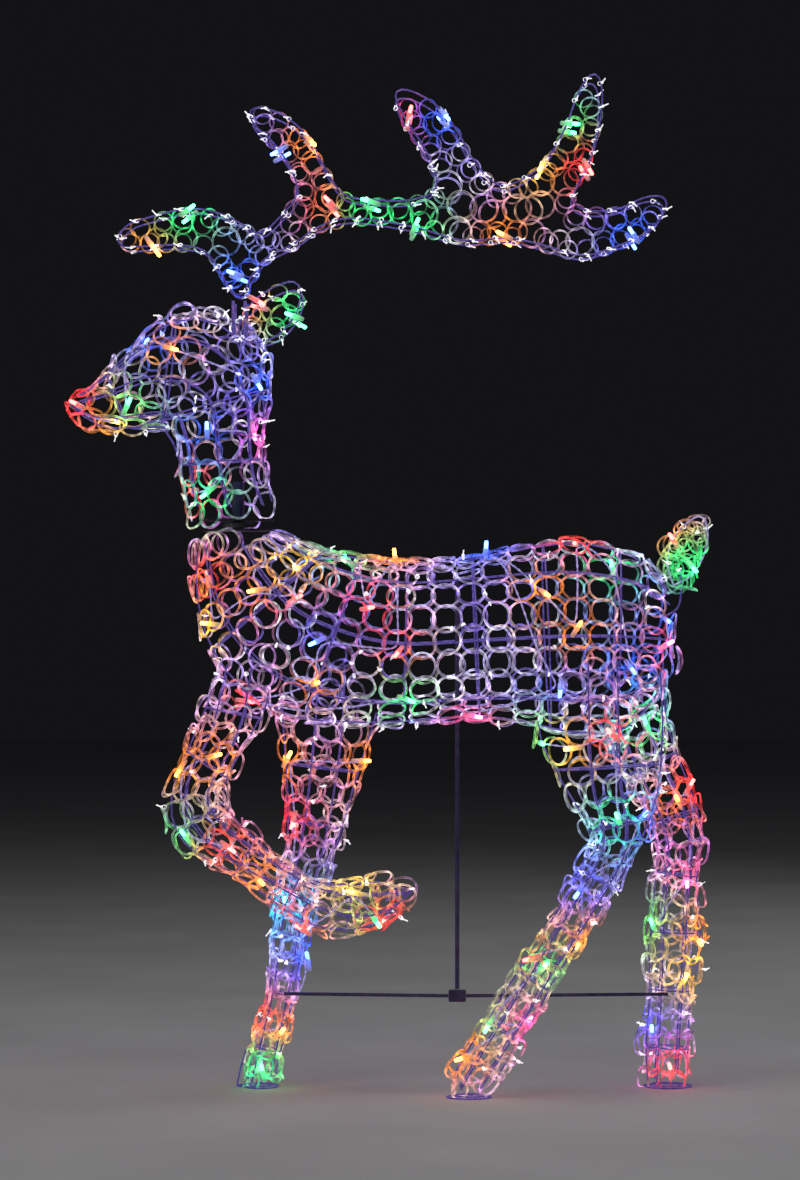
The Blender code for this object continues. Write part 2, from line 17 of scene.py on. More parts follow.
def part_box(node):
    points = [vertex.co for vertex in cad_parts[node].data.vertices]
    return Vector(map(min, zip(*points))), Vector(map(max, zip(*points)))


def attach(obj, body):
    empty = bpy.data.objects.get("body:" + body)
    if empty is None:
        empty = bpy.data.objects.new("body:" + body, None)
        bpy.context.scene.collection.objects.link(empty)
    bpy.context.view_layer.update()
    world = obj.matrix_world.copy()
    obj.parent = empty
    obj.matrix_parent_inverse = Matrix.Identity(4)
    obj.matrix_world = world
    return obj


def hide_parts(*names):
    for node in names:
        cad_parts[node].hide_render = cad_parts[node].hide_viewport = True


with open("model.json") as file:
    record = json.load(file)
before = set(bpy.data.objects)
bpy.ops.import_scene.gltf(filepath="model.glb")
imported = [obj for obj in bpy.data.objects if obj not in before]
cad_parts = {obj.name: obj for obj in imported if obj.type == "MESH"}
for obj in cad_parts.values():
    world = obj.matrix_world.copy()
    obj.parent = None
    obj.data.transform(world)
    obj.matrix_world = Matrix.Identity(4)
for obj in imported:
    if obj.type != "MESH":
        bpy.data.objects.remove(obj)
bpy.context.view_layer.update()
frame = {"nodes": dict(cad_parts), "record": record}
RANDOM = random.Random(11)

# ---- driving sizes, in metres --------------------------------------------------------------------
RING_RADIUS = 0.0188     # middle line of a tube ring
TUBE_RADIUS = 0.0013
SKIN_THICKNESS = 0.004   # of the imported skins
RING_PITCH = 0.0340
HEAD_PITCH = 0.0300
PANEL_PITCH = 0.0315
RING_STEPS = 24
TUBE_STEPS = 7
WIRE_RADIUS = 0.0012
WIRE_DEPTH = 0.0052      # wires lie this far under the outside of the rings
LAMP_DEPTH = 0.0070
CABLE_RADIUS = 0.0008
CABLE_TWIST = 0.022
TAIL_RING_SCALE = 0.78
LOWEST_TIE = 0.020
RING_STAGGER = 0.0016    # every other ring lies this much higher than its neighbours
RING_SINK = 0.0022       # depth of the rings' middle line under the outside of the skin
FLOOR_CLEARANCE = 0.0008  # lowest point of a ring
BODY_TILT, LIMB_TILT, PANEL_TILT, TAIL_TILT = 0.12, 0.17, 0.06, 0.20
GLOW_REACH = 0.042       # distance at which a lamp's painted glow on the rings has faded to a third
GLOW_FALL = 1.5
GLOW_COVER = 1.7         # how fully a near lamp's painted glow covers a ring's own painted violet glow
GLOW_GAIN = 1.9
SECTION_TIE_CHANCE, PANEL_TIE_CHANCE, TAIL_TIE_CHANCE = 0.14, 0.8, 0.2
JOINTS = {joint["name"]: joint for joint in frame["record"]["behaviour"]["joints"]}
NECK = Vector(JOINTS["head_turn"]["pos_m"])
NECK_CLEAR = 0.115      # ties this near to the neck would catch on the turning head
LEG_PITCH = 0.0270
TIGHTEST_BEND = 0.026
END_BEND = 0.06
FLAT_BEND = 10.0

COLORS = {
    "r": (1.00, 0.035, 0.030),
    "g": (0.02, 0.85, 0.20),
    "b": (0.035, 0.13, 1.00),
    "o": (1.00, 0.26, 0.015),
    "y": (1.00, 0.55, 0.03),
    "p": (1.00, 0.08, 0.32),
    "c": (0.03, 0.60, 0.95),
}
# Violet of the painted glow that every ring carries, standing in for lamplight held in the clear tubes
VIOLET = (0.30, 0.20, 1.00)

# Each section: its CAD nodes' stem, its body, its middle line as fractions of the skin's box in
# X and Z, and whether its far end is closed.
SECTIONS = {
    "torso": ("torso", [(0.10, 1.00), (0.13, 0.86), (0.22, 0.62), (0.40, 0.47), (0.58, 0.48),
                        (0.76, 0.50), (0.90, 0.50), (1.00, 0.48)], True),
    "head": ("head", [(0.78, 0.00), (0.72, 0.16), (0.70, 0.38), (0.66, 0.60), (0.42, 0.68),
                      (0.20, 0.60), (0.00, 0.54)], True),
    "front_right_leg": ("torso", [(0.32, 1.00), (0.26, 0.72), (0.13, 0.50), (0.25, 0.34),
                                  (0.52, 0.20), (0.78, 0.10), (1.00, 0.14)], True),
    "front_left_leg": ("torso", [(0.62, 1.00), (0.60, 0.80), (0.49, 0.55), (0.36, 0.40),
                                 (0.27, 0.22), (0.12, 0.00)], False),
    "rear_right_leg": ("torso", [(0.70, 1.00), (0.72, 0.70), (0.77, 0.56), (0.62, 0.42),
                                 (0.43, 0.27), (0.23, 0.11), (0.09, 0.00)], False),
    "rear_left_leg": ("torso", [(0.28, 1.00), (0.42, 0.80), (0.76, 0.58), (0.72, 0.40),
                                (0.70, 0.24), (0.65, 0.00)], False),
}
AROUND = {
    "torso": 20, "front_right_leg": 8, "front_left_leg": 8,
    "rear_right_leg": 8, "rear_left_leg": 8,
}

# Lamps of each string: x, z, side (-1 is the deer's right) and colour.
LAMPS = {
    "torso": [
        (-0.262, 0.700, 1, "r"), (-0.253, 0.705, -1, "r"), (-0.252, 0.641, -1, "y"),
        (-0.183, 0.689, -1, "o"), (-0.132, 0.676, -1, "r"), (-0.125, 0.722, -1, "y"),
        (-0.058, 0.735, 1, "g"), (-0.033, 0.665, -1, "r"), (0.012, 0.731, -1, "o"),
        (0.010, 0.604, -1, "r"), (-0.100, 0.618, -1, "b"), (-0.105, 0.558, -1, "o"),
        (-0.197, 0.531, -1, "r"), (0.020, 0.536, -1, "g"), (0.110, 0.510, -1, "p"),
        (0.228, 0.552, -1, "b"), (0.136, 0.742, -1, "b"), (0.206, 0.686, -1, "o"),
        (0.250, 0.636, -1, "o"), (0.252, 0.757, -1, "r"), (0.308, 0.722, 1, "g"),
        (0.334, 0.580, 1, "b"), (0.378, 0.612, -1, "p"), (0.386, 0.648, 1, "b"),
    ],
    "head": [
        (-0.278, 0.824, 1, "r"), (-0.250, 0.822, -1, "g"), (-0.182, 0.905, -1, "p"),
        (-0.252, 0.903, -1, "b"), (-0.180, 0.972, -1, "b"), (-0.302, 1.018, -1, "o"),
        (-0.345, 1.026, 1, "b"), (-0.362, 0.934, -1, "g"), (-0.388, 0.918, 1, "y"),
        (-0.434, 0.944, -1, "r"),
    ],
    "front_right_leg": [
        (-0.238, 0.463, -1, "o"), (-0.290, 0.450, -1, "o"), (-0.278, 0.352, -1, "g"),
        (-0.222, 0.340, -1, "r"), (-0.182, 0.298, -1, "o"), (-0.117, 0.220, 1, "r"),
        (-0.048, 0.284, -1, "y"), (-0.022, 0.238, -1, "g"), (-0.004, 0.238, 1, "r"),
    ],
    "front_left_leg": [
        (-0.031, 0.450, -1, "o"), (-0.150, 0.453, -1, "o"), (-0.141, 0.371, -1, "r"),
        (-0.148, 0.252, -1, "c"), (-0.122, 0.173, -1, "b"), (-0.154, 0.073, -1, "o"),
        (-0.190, 0.085, -1, "r"), (-0.180, 0.022, -1, "g"),
    ],
    "rear_right_leg": [
        (0.190, 0.478, -1, "g"), (0.245, 0.474, -1, "y"), (0.288, 0.492, 1, "r"),
        (0.305, 0.377, -1, "g"), (0.344, 0.376, 1, "b"), (0.250, 0.285, -1, "b"),
        (0.266, 0.212, 1, "o"), (0.186, 0.194, -1, "r"), (0.206, 0.170, 1, "g"),
        (0.128, 0.104, -1, "g"), (0.186, 0.096, 1, "p"), (0.094, 0.058, -1, "o"),
    ],
    "rear_left_leg": [
        (0.354, 0.500, -1, "g"), (0.398, 0.396, -1, "o"), (0.424, 0.416, 1, "r"),
        (0.410, 0.290, -1, "p"), (0.357, 0.222, -1, "g"), (0.426, 0.207, -1, "o"),
        (0.404, 0.146, -1, "y"), (0.354, 0.074, -1, "b"), (0.388, 0.024, -1, "r"),
    ],
    "tail": [(0.386, 0.756, -1, "r"), (0.411, 0.722, -1, "g")],
    "ear": [(-0.196, 1.096, -1, "r"), (-0.130, 1.060, -1, "g")],
    "antler": [
        (-0.212, 1.118, -1, "b"), (-0.328, 1.160, -1, "o"), (-0.278, 1.204, -1, "g"),
        (-0.152, 1.286, -1, "b"), (-0.108, 1.302, -1, "o"), (-0.082, 1.214, -1, "r"),
        (-0.028, 1.216, -1, "g"), (0.030, 1.176, -1, "g"), (0.024, 1.334, -1, "r"),
        (0.072, 1.336, -1, "b"), (0.154, 1.170, -1, "o"), (0.206, 1.268, -1, "y"),
        (0.242, 1.322, -1, "g"), (0.270, 1.262, -1, "r"), (0.330, 1.170, -1, "b"),
    ],
}
LAMP_GLOW = []           # (place, colour) of every lamp, filled as the strings are made, for the lamplight painted on the rings


# ---- materials -----------------------------------------------------------------------------------
def new_material(name):
    mat = bpy.data.materials.new(name)
    mat.use_nodes = True
    return mat, mat.node_tree.nodes, mat.node_tree.links


def noise_bump(nodes, links, shader, scale, strength, distance=0.0004):
    """Fine surface unevenness on a shader."""
    coords = nodes.new("ShaderNodeTexCoord")
    noise = nodes.new("ShaderNodeTexNoise")
    noise.inputs["Scale"].default_value = scale
    noise.inputs["Detail"].default_value = 4.0
    bump = nodes.new("ShaderNodeBump")
    bump.inputs["Strength"].default_value = strength
    bump.inputs["Distance"].default_value = distance
    links.new(coords.outputs["Object"], noise.inputs["Vector"])
    links.new(noise.outputs["Fac"], bump.inputs["Height"])
    links.new(bump.outputs["Normal"], shader.inputs["Normal"])
    return noise


def ramp_node(nodes, stops):
    """A colour ramp with the given (position, colour) stops."""
    ramp = nodes.new("ShaderNodeValToRGB")
    elements = ramp.color_ramp.elements
    elements[0].position, elements[0].color = stops[0][0], (*stops[0][1], 1.0)
    elements[1].position, elements[1].color = stops[-1][0], (*stops[-1][1], 1.0)
    for position, color in stops[1:-1]:
        element = elements.new(position)
        element.color = (*color, 1.0)
    return ramp


def surface(name, dark, light, roughness, metallic=0.0, scale=60.0, bump=0.15, glow=0.0):
    """A two-tone surface with uneven roughness and fine bump, and an optional painted glow in its own
    colour.
    """
    mat, nodes, links = new_material(name)
    shader = nodes["Principled BSDF"]
    shader.inputs["Metallic"].default_value = metallic
    # painted glow: emission in the surface's own colour
    shader.inputs["Emission Strength"].default_value = glow
    noise = noise_bump(nodes, links, shader, scale, bump)
    color = ramp_node(nodes, [(0.35, dark), (0.65, light)])
    links.new(noise.outputs["Fac"], color.inputs["Fac"])
    links.new(color.outputs["Color"], shader.inputs["Base Color"])
    links.new(color.outputs["Color"], shader.inputs["Emission Color"])
    rough = nodes.new("ShaderNodeMapRange")
    rough.inputs["To Min"].default_value = roughness * 0.75
    rough.inputs["To Max"].default_value = min(1.0, roughness * 1.3)
    links.new(noise.outputs["Fac"], rough.inputs["Value"])
    links.new(rough.outputs["Result"], shader.inputs["Roughness"])
    return mat


def clear_tube():
    """Clear plastic tube: see-through in the middle and opaque towards its edges, which show a painted
    glow of the lamps nearby with painted glints.
    """
    mat, nodes, links = new_material("clear_tube")
    shader = nodes["Principled BSDF"]
    shader.inputs["Roughness"].default_value = 0.06
    shader.inputs["IOR"].default_value = 1.49
    shader.inputs["Coat Weight"].default_value = 0.5
    shader.inputs["Coat Roughness"].default_value = 0.03
    # the rings glow though they are no lamps: painted lamplight in the colour of the glow attribute
    shader.inputs["Emission Strength"].default_value = 1.35
    glow = nodes.new("ShaderNodeAttribute")
    glow.attribute_name = "glow"
    noise_bump(nodes, links, shader, 220.0, 0.12, 0.0003)
    # painted glints: noise brightens and dims the painted glow along the tubes
    painted_glint_noise = nodes.new("ShaderNodeTexNoise")
    painted_glint_noise.inputs["Scale"].default_value = 85.0
    painted_glint_noise.inputs["Detail"].default_value = 3.0
    coords = nodes.new("ShaderNodeTexCoord")
    links.new(coords.outputs["Object"], painted_glint_noise.inputs["Vector"])
    stops = [(0.36, (0.12, 0.12, 0.12)), (0.52, (0.60, 0.60, 0.60)), (0.66, (1.9, 1.9, 1.9))]
    painted_glint_ramp = ramp_node(nodes, stops)
    links.new(painted_glint_noise.outputs["Fac"], painted_glint_ramp.inputs["Fac"])
    lit = nodes.new("ShaderNodeMix")
    lit.data_type = "RGBA"
    lit.blend_type = "MULTIPLY"
    lit.inputs["Factor"].default_value = 1.0
    links.new(glow.outputs["Color"], lit.inputs["A"])
    links.new(painted_glint_ramp.outputs["Color"], lit.inputs["B"])
    edge = nodes.new("ShaderNodeLayerWeight")
    edge.inputs["Blend"].default_value = 0.5
    alpha = nodes.new("ShaderNodeMapRange")
    alpha.inputs["From Min"].default_value = 0.12
    alpha.inputs["From Max"].default_value = 0.62
    alpha.inputs["To Min"].default_value = 0.10
    alpha.inputs["To Max"].default_value = 1.0
    links.new(edge.outputs["Facing"], alpha.inputs["Value"])
    links.new(alpha.outputs["Result"], shader.inputs["Alpha"])
    # base colour: near-black tube, tinted by the painted glow
    body = nodes.new("ShaderNodeMix")
    body.data_type = "RGBA"
    body.inputs["Factor"].default_value = 0.30
    body.inputs["A"].default_value = (0.05, 0.05, 0.10, 1.0)
    links.new(glow.outputs["Color"], body.inputs["B"])
    links.new(body.outputs["Result"], shader.inputs["Base Color"])
    links.new(lit.outputs["Result"], shader.inputs["Emission Color"])
    return mat


def lamp_bulb():
    """The moulded tip of a lamp, bright in its own colour."""
    mat, nodes, links = new_material("lamp_bulb")
    shader = nodes["Principled BSDF"]
    shader.inputs["Roughness"].default_value = 0.15
    glow = nodes.new("ShaderNodeAttribute")
    glow.attribute_name = "glow"
    links.new(glow.outputs["Color"], shader.inputs["Base Color"])
    links.new(glow.outputs["Color"], shader.inputs["Emission Color"])
    shader.inputs["Emission Strength"].default_value = 16.0
    noise_bump(nodes, links, shader, 300.0, 0.1)
    return mat


def lamp_holder():
    """The clear holder of a lamp, lit from inside by its bulb."""
    mat, nodes, links = new_material("lamp_holder")
    shader = nodes["Principled BSDF"]
    shader.inputs["Roughness"].default_value = 0.2
    shader.inputs["Coat Weight"].default_value = 0.5
    glow = nodes.new("ShaderNodeAttribute")
    glow.attribute_name = "glow"
    pale = nodes.new("ShaderNodeMix")
    pale.data_type = "RGBA"
    pale.inputs["Factor"].default_value = 0.5
    pale.inputs["A"].default_value = (0.85, 0.86, 0.88, 1.0)
    links.new(glow.outputs["Color"], pale.inputs["B"])
    links.new(pale.outputs["Result"], shader.inputs["Base Color"])
    links.new(glow.outputs["Color"], shader.inputs["Emission Color"])
    shader.inputs["Emission Strength"].default_value = 3.2
    noise_bump(nodes, links, shader, 250.0, 0.15)
    return mat


def floor_material():
    """Pale matt floor with a faint unevenness."""
    return surface("pale_floor", (0.62, 0.62, 0.63), (0.68, 0.68, 0.69), 0.85, scale=3.0, bump=0.05)


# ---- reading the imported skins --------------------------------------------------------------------
class Skin:
    """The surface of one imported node, for rays and nearest points."""

    def __init__(self, node):
        self.low, self.high = (Vector(corner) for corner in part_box(node))
        mesh = frame["nodes"][node].data
        work = bmesh.new()
        work.from_mesh(mesh)
        bmesh.ops.remove_doubles(work, verts=work.verts, dist=0.00005)
        bmesh.ops.recalc_face_normals(work, faces=work.faces)
        self.tree = BVHTree.FromBMesh(work)
        self.mesh = work

    def at(self, across, up):
        """A point in the middle plane of the node's box, by fractions."""
        span = self.high - self.low
        middle = (self.low.y + self.high.y) / 2
        return Vector((self.low.x + across * span.x, middle, self.low.z + up * span.z))

    def wall(self, start, direction, most=0.30):
        """The outer wall met from inside the section: its point and its outward normal."""
        hit, normal, _face, distance = self.tree.ray_cast(start, direction, most)
        if hit is None:
            return None
        again, outer, _face, gap = self.tree.ray_cast(hit + direction * 0.0002, direction, 0.010)
        if again is not None:
            hit, normal = again, outer
        if normal.dot(direction) < 0:
            normal = -normal
        return hit, normal

    def from_side(self, x, z, side):
        """The outer wall met from one side, or the nearest wall where the ray misses."""
        middle = (self.low.y + self.high.y) / 2
        start = Vector((x, middle + side * 0.25, z))
        direction = Vector((0.0, -side, 0.0))
        hit, normal, _face, _distance = self.tree.ray_cast(start, direction, 0.26)
        if hit is None:
            hit, normal, _face, _distance = self.tree.find_nearest(Vector((x, middle, z)))
            normal = (hit - Vector(((self.low.x + self.high.x) / 2, middle, z))).normalized()
        if normal.dot(direction) > 0:
            normal = -normal
        return hit, normal


def smooth_path(points, step):
    """Points every step along a Catmull-Rom curve through the given points."""
    padded = [points[0] * 2 - points[1], *points, points[-1] * 2 - points[-2]]
    fine = []
    for before, start, end, after in zip(padded, padded[1:], padded[2:], padded[3:]):
        pieces = max(2, int((end - start).length / (step / 4)))
        for index in range(pieces):
            t = index / pieces
            fine.append(0.5 * (
                start * 2 + (end - before) * t
                + (before * 2 - start * 5 + end * 4 - after) * t * t
                + (start * 3 - before - end * 3 + after) * t * t * t
            ))
    fine.append(points[-1])
    total = sum((b - a).length for a, b in zip(fine, fine[1:]))
    count = max(2, round(total / step))
    result = [fine[0]]
    travelled = 0.0
    for start, end in zip(fine, fine[1:]):
        length = (end - start).length
        while len(result) < count and travelled + length >= total * len(result) / count:
            wanted = total * len(result) / count - travelled
            result.append(start.lerp(end, wanted / max(length, 1e-9)))
        travelled += length
    result.append(fine[-1])
    return result


def directions_at(path, index):
    """Tangent, up and across directions of a middle line lying in a plane of constant Y."""
    before = path[max(index - 1, 0)]
    after = path[min(index + 1, len(path) - 1)]
    tangent = (after - before).normalized()
    across = Vector((0.0, 1.0, 0.0))
    return tangent, tangent.cross(across).normalized(), across


# ---- rings ---------------------------------------------------------------------------------------
def ring_sites(skin, middle_line, around, closed_end, jitter, stagger, pitch):
    """Sites of the rings on one section, in rows round its middle line.

    A site is a place, its outward normal, the direction of the section's middle line, the ring's
    scale and the radius that the ring is bent to.
    """
    path = smooth_path([skin.at(*place) for place in middle_line], pitch)
    sites = []
    for index, centre in enumerate(path):
        tangent, up, across = directions_at(path, index)
        for place in range(around):
            angle = 2 * math.pi * (place + stagger * (index % 2)) / around
            angle += RANDOM.uniform(-1, 1) * jitter / around
            direction = (up * math.cos(angle) + across * math.sin(angle)).normalized()
            start = centre + tangent * RANDOM.uniform(-1, 1) * jitter * pitch * 0.16
            found = skin.wall(start, direction)
            if found:
                sites.append((*found, tangent, 1.0, (found[0] - start).length))
    if closed_end:
        tangent, up, across = directions_at(path, len(path) - 1)
        start = path[-1] - tangent * pitch
        for tilt, count in ((0.55, around // 2), (0.0, 1)):
            for place in range(count):
                angle = 2 * math.pi * place / count
                side = up * math.cos(angle) + across * math.sin(angle)
                found = skin.wall(start, (tangent + side * tilt).normalized())
                if found:
                    sites.append((*found, up, 1.0, END_BEND))
    return thinned(sites, pitch * 0.52)


def is_outer(skin, point, normal):
    """True on the outside of a thin skin: its inner wall is close behind, and far from its rim."""
    behind = skin.tree.ray_cast(point - normal * 0.0005, -normal, 0.30)[3]
    if behind is None or behind > SKIN_THICKNESS * 2:
        return False
    across = skin.tree.ray_cast(point - normal * 0.012, -normal, 0.30)[3]
    before = skin.tree.ray_cast(point + normal * 0.001, normal, 0.30)[3]
    return across is not None and (before is None or across < before)


def packed_sites(skin, least, solid=False):
    """Sites spread evenly over a skin, each as near as it can be to the one before."""
    spots = []
    for face in skin.mesh.faces:
        if not solid and not is_outer(skin, face.calc_center_median(), face.normal):
            continue
        corners = [vert.co for vert in face.verts]
        for second, third in zip(corners[1:], corners[2:]):
            area = (second - corners[0]).cross(third - corners[0]).length / 2
            for _ in range(max(1, int(area / 0.005 ** 2))):
                u, v = RANDOM.random(), RANDOM.random()
                if u + v > 1:
                    u, v = 1 - u, 1 - v
                point = corners[0] + (second - corners[0]) * u + (third - corners[0]) * v
                spots.append((*point, *face.normal))
    spots = np.array(sorted(spots, key=lambda spot: spot[2]))
    kept = []
    latest = spots[0]
    while len(spots):
        distance = np.linalg.norm(spots[:, :3] - latest[:3], axis=1)
        latest = spots[int(np.argmin(distance))]
        place, normal = Vector(latest[:3]), Vector(latest[3:])
        through = skin.tree.ray_cast(place - normal * 0.007, -normal, 0.30)[3] or END_BEND
        kept.append((place, normal, Vector((0.08, 0.0, 1.0)), 1.0, through / 2))
        spots = spots[np.linalg.norm(spots[:, :3] - latest[:3], axis=1) > least]
    return kept


def thinned(sites, least):
    """Drop sites that are closer than the least distance to one already kept."""
    kept = []
    for site in sites:
        if all((site[0] - other[0]).length > least for other in kept):
            kept.append(site)
    return kept


def torus_mesh():
    """Points and faces of one ring lying in its own XY plane."""
    points = []
    for i in range(RING_STEPS):
        turn = 2 * math.pi * i / RING_STEPS
        for j in range(TUBE_STEPS):
            roll = 2 * math.pi * j / TUBE_STEPS
            reach = RING_RADIUS + TUBE_RADIUS * math.cos(roll)
            points.append((reach * math.cos(turn), reach * math.sin(turn), TUBE_RADIUS * math.sin(roll)))
    faces = []
    for i in range(RING_STEPS):
        for j in range(TUBE_STEPS):
            a = i * TUBE_STEPS + j
            b = i * TUBE_STEPS + (j + 1) % TUBE_STEPS
            shift = TUBE_STEPS
            total = RING_STEPS * TUBE_STEPS
            faces.append((a, (a + shift) % total, (b + shift) % total, b))
    return np.array(points), np.array(faces)


def bent(points, radius):
    """Points of a flat ring bent round a cylinder that lies along X under it."""
    turn = points[:, 1] / radius
    reach = radius + points[:, 2]
    return np.stack([points[:, 0], reach * np.sin(turn), reach * np.cos(turn) - radius], axis=1)


def glow_at(points, base):
    """Painted lamplight: the colour that nearby lamps give to points, laid over a base colour."""
    color = np.tile(np.array(base), (len(points), 1))
    for place, tint in LAMP_GLOW:
        distance = np.linalg.norm(points - np.array(place), axis=1)
        weight = np.exp(-(distance / GLOW_REACH) ** GLOW_FALL)[:, None]
        covered = 0.97 * np.clip(weight * GLOW_COVER, 0, 1)
        color = color * (1 - covered) + np.array(tint) * weight * GLOW_GAIN
    return np.clip(color, 0.0, 2.0)


def mesh_object(name, points, faces, mat, colors=None, smooth=True):
    """An object from points and faces, with an optional colour for each point."""
    mesh = bpy.data.meshes.new(name)
    mesh.from_pydata([tuple(p) for p in points], [], [tuple(f) for f in faces])
    if colors is not None:
        layer = mesh.color_attributes.new("glow", "FLOAT_COLOR", "POINT")
        rgba = np.ones((len(points), 4), dtype=np.float32)
        rgba[:, :3] = colors
        layer.data.foreach_set("color", rgba.ravel())
    if smooth:
        mesh.shade_smooth()
    for each in mat if isinstance(mat, (list, tuple)) else [mat]:
        mesh.materials.append(each)
    obj = bpy.data.objects.new(name, mesh)
    bpy.context.scene.collection.objects.link(obj)
    return obj


def ring_layer(name, sites, mat, tilt=0.20):
    """All the rings of a section as one object. Each ring lies on its site, slightly tilted."""
    base_points, base_faces = torus_mesh()
    points, faces, colors = [], [], []
    for number, (place, normal, tangent, size, radius) in enumerate(sites):
        normal = normal.normalized()
        along = (tangent - normal * tangent.dot(normal)).normalized()
        cross = normal.cross(along)
        axes = np.array([along, cross, normal]).T
        lean = Matrix.Rotation(RANDOM.gauss(0, tilt), 3, along)
        lean = lean @ Matrix.Rotation(RANDOM.gauss(0, tilt), 3, cross)
        stretch = 1.0 + RANDOM.uniform(-0.05, 0.05)
        scale = np.array([size * stretch, size / stretch, 1.0])
        lift = (number % 2 - 0.5) * RING_STAGGER - RING_SINK
        centre = np.array(place + normal * lift)
        curved = bent(base_points * scale, max(radius, TIGHTEST_BEND))
        shaped = curved @ axes.T @ np.array(lean).T + centre
        shaped[:, 2] = np.maximum(shaped[:, 2], FLOOR_CLEARANCE)
        faces.append(base_faces + len(base_points) * number)
        points.append(shaped)
        # Each ring's painted violet-white glow, random in brightness and whiteness, under the painted
        # lamplight of nearby lamps
        shade = RANDOM.uniform(0.55, 1.35)
        white = RANDOM.random() ** 1.5
        base = [shade * (channel * (1 - white) + 0.95 * white) for channel in VIOLET]
        colors.append(glow_at(shaped, base))
    return mesh_object(name, np.concatenate(points), np.concatenate(faces), mat, np.concatenate(colors))


# ---- wires, cables, lamps and ties ---------------------------------------------------------------
def curve_object(name, paths, radius, mat, closed=False, resolution=2):
    """Round wires through the given paths, as one curve object."""
    curve = bpy.data.curves.new(name, "CURVE")
    curve.dimensions = "3D"
    curve.bevel_depth = radius
    curve.bevel_resolution = resolution
    curve.use_fill_caps = True
    for path in paths:
        spline = curve.splines.new("POLY")
        spline.points.add(len(path) - 1)
        for index, point in enumerate(path):
            spline.points[index].co = (*point, 1.0)
        spline.use_cyclic_u = closed
        spline.use_smooth = True
    curve.materials.append(mat)
    obj = bpy.data.objects.new(name, curve)
    bpy.context.scene.collection.objects.link(obj)
    return obj


def cage_paths(skin, middle_line, hoops_every, stringers):
    """Hoops round a section and stringers along it, just under the rings."""
    path = smooth_path([skin.at(*place) for place in middle_line], 0.016)
    hoops, lines = [], [[] for _ in range(stringers)]
    for index, centre in enumerate(path):
        tangent, up, across = directions_at(path, index)
        ring = []
        for place in range(36):
            angle = 2 * math.pi * place / 36
            direction = up * math.cos(angle) + across * math.sin(angle)
            found = skin.wall(centre, direction)
            ring.append(found[0] - direction * WIRE_DEPTH if found else None)
        if index % hoops_every == 0 and all(point is not None for point in ring):
            hoops.append(relaxed(ring, True, 2))
        for number in range(stringers):
            lines[number].append(ring[round(number * 36 / stringers)])
    stretches = []
    for line in lines:
        stretch = []
        for point in line + [None]:
            if point is not None and (not stretch or (point - stretch[-1]).length < 0.06):
                stretch.append(point)
                continue
            if len(stretch) > 3:
                stretches.append(relaxed(stretch, False, 3))
            stretch = [] if point is None else [point]
    return hoops, stretches


def relaxed(points, closed, rounds):
    """Points moved towards the middle of their neighbours."""
    points = [Vector(point) for point in points]
    for _ in range(rounds):
        count = len(points)
        moved = []
        for index, point in enumerate(points):
            if not closed and index in (0, count - 1):
                moved.append(point)
                continue
            middle = (points[index - 1] + points[(index + 1) % count]) / 2
            moved.append(point.lerp(middle, 0.5))
        points = moved
    return points


def string_path(skin, lamps, depth):
    """The cable's route: from lamp to lamp under the skin, never across the hollow."""
    route = []
    for start, end in zip(lamps, lamps[1:]):
        pieces = max(2, int((end - start).length / 0.014))
        for index in range(pieces):
            point = start.lerp(end, index / pieces)
            if 0 < index:
                nearest, normal, _face, _distance = skin.tree.find_nearest(point)
                inward = point - nearest
                if inward.length > 1e-5:
                    wobble = 0.002 * math.sin(index * 1.7)
                    point = nearest + inward.normalized() * (depth + wobble)
            route.append(point)
    route.append(lamps[-1])
    return relaxed(route, False, 2)


def twisted(path, radius, phase):
    """One strand of a twisted pair along a path."""
    strand = []
    travelled = 0.0
    fine = smooth_path(path, 0.006)
    for index, point in enumerate(fine):
        before = fine[max(index - 1, 0)]
        after = fine[min(index + 1, len(fine) - 1)]
        along = (after - before).normalized()
        side = along.orthogonal() if index == 0 else side - along * side.dot(along)
        side.normalize()
        travelled += (point - before).length
        turn = 2 * math.pi * travelled / CABLE_TWIST + phase
        strand.append(point + (side * math.cos(turn) + along.cross(side) * math.sin(turn)) * radius)
    return strand


def turned(profile, steps):
    """Points and faces of a profile of (radius, height) turned about Z, closed at both ends."""
    points, faces = [], []
    for radius, height in profile:
        for step in range(steps):
            angle = 2 * math.pi * step / steps
            points.append((radius * math.cos(angle), radius * math.sin(angle), height))
    for level in range(len(profile) - 1):
        for step in range(steps):
            a = level * steps + step
            b = level * steps + (step + 1) % steps
            faces.append((a, b, b + steps, a + steps))
    faces.append(tuple(reversed(range(steps))))
    top = (len(profile) - 1) * steps
    faces.append(tuple(range(top, top + steps)))
    return points, faces


HOLDER = [(0.0022, 0.000), (0.0030, 0.001), (0.0033, 0.004), (0.0033, 0.012), (0.0038, 0.0125),
          (0.0038, 0.0165), (0.0031, 0.017)]
BULB = [(0.0025, 0.0165), (0.0027, 0.020), (0.0026, 0.025), (0.0020, 0.0272), (0.0008, 0.0262)]


def lamp_row(name, places, colors, mats):
    """The lamps of a string as one object: clear holders and bright tips."""
    points, faces, tints, slots = [], [], [], []
    for place, outward, along, tint in zip(places, *colors):
        lean = (along * RANDOM.choice((-1, 1)) + outward * RANDOM.uniform(0.15, 0.7)).normalized()
        turn = lean.to_track_quat("Z", "Y").to_matrix()
        for profile, strength, slot in ((HOLDER, 0.5, 0), (BULB, 1.0, 1)):
            shape, shape_faces = turned(profile, 10)
            first = len(points)
            for point in shape:
                points.append(place + turn @ (Vector(point) - Vector((0, 0, 0.013))))
                near_tip = min(1.0, max(0.15, point[2] / 0.018))
                tints.append([channel * strength * near_tip + 0.02 for channel in tint])
            for face in shape_faces:
                faces.append(tuple(first + corner for corner in face))
                slots.append(slot)
    obj = mesh_object(name, points, faces, mats, np.array(tints))
    obj.data.polygons.foreach_set("material_index", slots)
    return obj


